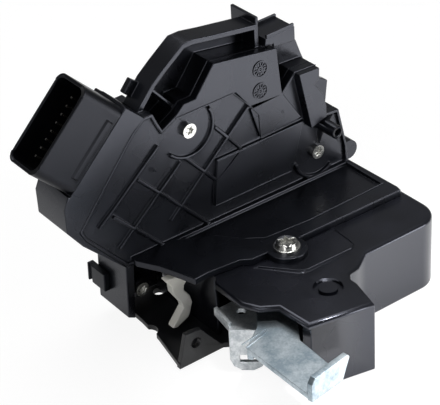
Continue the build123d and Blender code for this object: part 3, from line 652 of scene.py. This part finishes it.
# %% [markdown]
# ## Push-off rings
# Steel pins push the cold lid out of its mould, and the gap round each pin
# leaves a fine ring on the plastic. It is the rim of a dial in small, so the
# same two tools make it.

# %% Four push-off rings
push_off_points = ((-17.7, 72.4), (48.5, 74.3), (20.5, 48.5), (-2.5, 49.5))
for number, (x_mm, z_mm) in enumerate(push_off_points, 1):
    mark = bmesh.new()
    spun_ring(mark, inner_mm=0.45, outer_mm=0.8, height_mm=0.15)
    set_on_face(mark, x_mm, z_mm)
    add_piece(f"push_off_ring_{number}", mark, lid_nylon, "lid")
print("push-off rings", len(push_off_points))

# %% [markdown]
# ## Camera
# The photo is a packshot on white: a long lens from the left and above. The
# camera's place, its two image directions and its lens were solved from
# edges of the cover, the ribbed face and the plug. Written as a matrix they
# need no angles: its columns are the camera's right, up and back.

# %% Camera
CAMERA_MM = (-316.8, -475.0, 417.0)
LENS_MM = 133.5
SENSOR_MM = 36.0
SIGHT_M = 10.0
image_right = Vector((0.79926, -0.59846, -0.05507)).normalized()
image_down = Vector((-0.36241, -0.40685, -0.83853)).normalized()
forward = image_right.cross(image_down)

camera_data = bpy.data.cameras.new("studio_camera")
camera_data.sensor_width = SENSOR_MM
camera_data.lens = LENS_MM
camera_data.clip_end = SIGHT_M
camera = bpy.data.objects.new("studio_camera", camera_data)
bpy.context.scene.collection.objects.link(camera)
seat = Matrix((image_right, -image_down, -forward)).transposed().to_4x4()
seat.translation = Vector(CAMERA_MM) * MM
camera.matrix_world = seat
bpy.context.scene.camera = camera
print("camera at", [round(v, 3) for v in seat.translation])

# %% [markdown]
# ## White floor and sky
# Both are plain white to the camera. Metal and glass see a small share of
# that white too, or they would look black, and the rest of the light stays
# mild, because a full white room would turn black plastic grey. The floor
# keeps some plain paper in its mix, so the object's faint shadow stays.

# %% Share of white for each kind of ray
def white_share(owner, seen, mirrored):
    """How much plain white a ray gets when the camera sees it, or when metal and glass mirror it."""
    links = owner.node_tree.links
    path = add(owner, "ShaderNodeLightPath")
    bounce = add(owner, "ShaderNodeMath", {"operation": "MAXIMUM"}, Value=path.outputs["Is Glossy Ray"])
    links.new(path.outputs["Is Transmission Ray"], bounce.inputs[1])
    mirror_part = add(owner, "ShaderNodeMath", {"operation": "MULTIPLY"}, Value=bounce.outputs[0])
    mirror_part.inputs[1].default_value = mirrored
    seen_part = add(owner, "ShaderNodeMath", {"operation": "MULTIPLY"}, Value=path.outputs["Is Camera Ray"])
    seen_part.inputs[1].default_value = seen
    share = add(owner, "ShaderNodeMath", {"operation": "ADD"}, Value=mirror_part.outputs[0])
    links.new(seen_part.outputs[0], share.inputs[1])
    print(owner.name, "is", seen, "white to the camera and", mirrored, "in mirrors")
    return share.outputs[0]


# %% Floor
FLOOR_REACH_M = 2.5
FLOOR_DROP_MM = 0.5
white = blank("white_sweep")
paper = add(white, "ShaderNodeBsdfDiffuse", {"Color": linear("F4F4F4")})
glow = add(white, "ShaderNodeEmission", {"Strength": 1.1})
mixed = add(white, "ShaderNodeMixShader", Fac=white_share(white, seen=0.82, mirrored=0.27))
white.node_tree.links.new(paper.outputs["BSDF"], mixed.inputs[1])
white.node_tree.links.new(glow.outputs["Emission"], mixed.inputs[2])
add(white, "ShaderNodeOutputMaterial", Surface=mixed.outputs["Shader"])

sweep = bmesh.new()
bmesh.ops.create_grid(sweep, x_segments=1, y_segments=1, size=FLOOR_REACH_M)
bmesh.ops.translate(sweep, verts=sweep.verts, vec=(0, 0, -FLOOR_DROP_MM * MM))
floor_mesh = bpy.data.meshes.new("floor")
sweep.to_mesh(floor_mesh)
sweep.free()
floor = bpy.data.objects.new("floor", floor_mesh)
floor.data.materials.append(white)
bpy.context.scene.collection.objects.link(floor)

# %% Sky
SKY_LIGHT = 0.08
world = bpy.data.worlds.new("studio_sky")
world.use_nodes = True
dim_sky = world.node_tree.nodes["Background"]
dim_sky.inputs["Color"].default_value = (1, 1, 1, 1)
dim_sky.inputs["Strength"].default_value = SKY_LIGHT
white_sky = add(world, "ShaderNodeBackground", {"Color": (1, 1, 1, 1), "Strength": 1.0})
sky_mix = add(world, "ShaderNodeMixShader", Fac=white_share(world, seen=1.0, mirrored=0.1))
world.node_tree.links.new(dim_sky.outputs[0], sky_mix.inputs[1])
world.node_tree.links.new(white_sky.outputs[0], sky_mix.inputs[2])
world.node_tree.links.new(sky_mix.outputs[0], world.node_tree.nodes["World Output"].inputs["Surface"])
bpy.context.scene.world = world
bpy.context.scene.view_settings.view_transform = "Standard"

# %% [markdown]
# ## Lamps
# Glossy black plastic shows almost nothing but reflections. A large softbox
# behind and above lights the tops without a hard spot, a weaker one lights
# the left walls, and one low in front to the right lights the ribbed face.
# The bright front walls of the photo mirror a lit table, so a spot lamp
# lights the floor in front of the cover. Places and sizes are in metres.

# %% Softboxes
MIDDLE = Vector((0.03, 0, 0.05))


def hang(name, lamp, place, aim):
    """Hang a lamp at a place and turn it to its aim."""
    stand = bpy.data.objects.new(name, lamp)
    stand.location = place
    stand.rotation_euler = (aim - Vector(place)).to_track_quat("-Z", "Y").to_euler()
    bpy.context.scene.collection.objects.link(stand)
    print(name, lamp.energy, "W at", place)


def softbox(name, place, size, power):
    """One square area lamp aimed at the middle of the object."""
    lamp = bpy.data.lights.new(name, "AREA")
    lamp.size = size
    lamp.energy = power
    hang(name, lamp, place, MIDDLE)


softbox("top_softbox", (0.15, 0.25, 0.95), size=0.7, power=4.5)
softbox("left_softbox", (-0.8, -0.45, 0.6), size=0.5, power=2)
softbox("front_softbox", (0.75, -1.05, 0.24), size=0.6, power=9)

# %% Table lamp
TABLE_LAMP_PLACE = (0.16, -0.36, 1.1)
TABLE_MIDDLE = Vector((0.11, -0.23, 0))
table_lamp = bpy.data.lights.new("table_lamp", "SPOT")
table_lamp.energy = 175
table_lamp.spot_size = math.radians(24)
table_lamp.spot_blend = 1.0
table_lamp.shadow_soft_size = 0.05
hang("table_lamp", table_lamp, TABLE_LAMP_PLACE, TABLE_MIDDLE)
